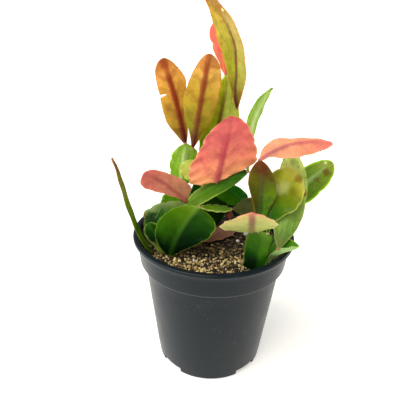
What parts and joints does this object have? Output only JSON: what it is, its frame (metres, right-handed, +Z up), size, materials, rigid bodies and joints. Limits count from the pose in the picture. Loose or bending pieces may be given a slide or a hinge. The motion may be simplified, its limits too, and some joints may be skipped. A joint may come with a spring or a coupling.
{
  "type": "potted rhipsalis",
  "caption": "Small potted rhipsalis: flat leaf-like stem joints in green, orange and pink, growing in gritty soil in a black plastic nursery pot.",
  "frame": {"origin": "centre of the pot's underside, on the surface that the pot stands on", "axes": "+Z up along the pot's axis, -Y towards the front, +X to the right as seen from the front"},
  "size_m": [0.1348, 0.105, 0.2357],
  "materials": {
    "pot_plastic": "satin, faint scuffs",
    "soil_grit": "loose grit, matt",
    "dark_green_skin": "waxy satin",
    "green_skin": "waxy satin",
    "pale_green_skin": "waxy satin",
    "lime_skin": "waxy satin",
    "olive_skin": "waxy satin",
    "cream_skin": "waxy satin",
    "orange_skin": "waxy satin",
    "pink_skin": "waxy satin",
    "red_skin": "waxy satin",
    "brown_skin": "dry, matt"
  },
  "bodies": {
    "root": {"pot": "pot_plastic", "soil": "soil_grit", "shoot_left_blade": "olive_skin", "shoot_front_round": "dark_green_skin", "bud_red": "red_skin", "shoot_left_round": "green_skin", "shoot_left_small": "dark_green_skin", "joint_pink_left": "pink_skin", "joint_pink_front": "pink_skin", "joint_lime_round": "lime_skin", "shoot_back": "green_skin", "joint_orange_left": "orange_skin", "joint_orange_right": "orange_skin", "shoot_centre": "green_skin", "joint_olive_tall": "olive_skin", "joint_coral_back": "pink_skin", "joint_brown_lying": "brown_skin", "shoot_front_right": "dark_green_skin", "joint_cream_leaning": "cream_skin", "joint_red_upright": "red_skin", "joint_lime_bowl": "lime_skin", "joint_pink_right": "pink_skin", "shoot_rim_dark": "dark_green_skin", "shoot_rim_boat": "pale_green_skin"}
  },
  "joints": []
}
